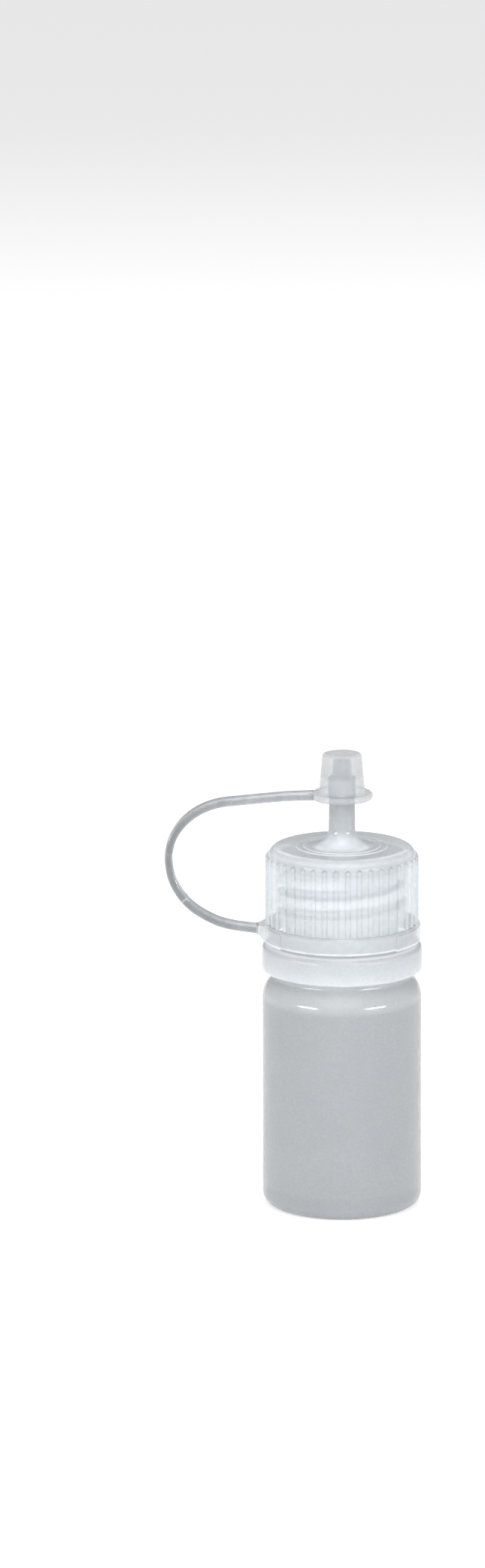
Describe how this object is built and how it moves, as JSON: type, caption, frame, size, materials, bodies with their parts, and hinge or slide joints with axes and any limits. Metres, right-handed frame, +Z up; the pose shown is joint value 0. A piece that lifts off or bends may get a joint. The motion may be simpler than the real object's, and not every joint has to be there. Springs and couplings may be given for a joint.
{
  "type": "dropper bottle",
  "caption": "Small squeeze bottle with a round body, screw neck and ribbed spout closure; a moulded strap holds a tip cap over the spout.",
  "frame": {"origin": "centre of the standing ring under the base, on the bottle's axis", "axes": "+Z up along the bottle to the tip cap, -X towards the tether's loop, +Y completes a right-handed frame"},
  "size_m": [0.0403, 0.0252, 0.0726],
  "materials": {
    "bottle_plastic": "translucent natural squeeze plastic, frosted",
    "closure_plastic": "translucent natural plastic, smooth moulded gloss",
    "tether_plastic": "flexible translucent natural plastic, smooth"
  },
  "bodies": {
    "bottle": {"bottle": "bottle_plastic"},
    "tether": {"tether_ring": "tether_plastic", "tether_strap": "tether_plastic"},
    "closure": {"screw_closure": "closure_plastic"},
    "tip_cap": {"tip_cap": "tether_plastic"}
  },
  "joints": [
    {"name": "closure_lift", "type": "slide", "parent": "bottle", "child": "tether", "axis": [0, 0, 1], "range_m": [0, 0.016]},
    {"name": "closure_turn", "type": "hinge", "parent": "tether", "child": "closure", "pos_m": [0, 0, 0.05], "axis": [0, 0, 1], "range_deg": [0, 1800]},
    {"name": "tip_cap_flip", "type": "hinge", "parent": "tether", "child": "tip_cap", "pos_m": [-0.021, 0, 0.0668], "axis": [0, -1, 0], "range_deg": [0, 140], "deforming": ["tether_strap"]}
  ],
  "couplings": [
    {"joint": "closure_lift", "follows": "closure_turn", "m_per_rad": 0.00050532}
  ]
}
